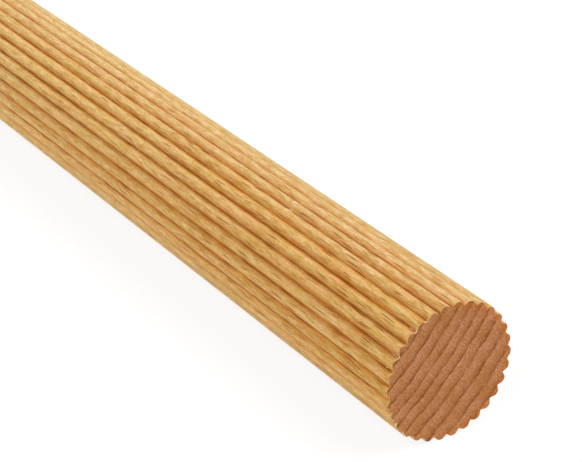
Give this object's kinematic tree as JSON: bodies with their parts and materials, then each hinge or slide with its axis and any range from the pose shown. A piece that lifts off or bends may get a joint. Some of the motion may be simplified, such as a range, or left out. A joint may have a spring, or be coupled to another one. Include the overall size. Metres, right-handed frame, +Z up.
{
  "type": "fluted dowel rod",
  "caption": "Straight beech dowel rod with lengthwise fluting all the way round and square sawn ends, for gluing into drilled holes or cutting into dowel pins.",
  "frame": {"origin": "on the ground under the middle of the rod, as it lies on two neighbouring ridges", "axes": "+X along the rod towards the near sawn end, +Y across it, +Z up"},
  "size_m": [0.3, 0.016, 0.0159],
  "materials": {
    "beech": "bare planed beech, unfinished"
  },
  "bodies": {
    "root": {"fluted_rod": "beech"}
  },
  "joints": []
}
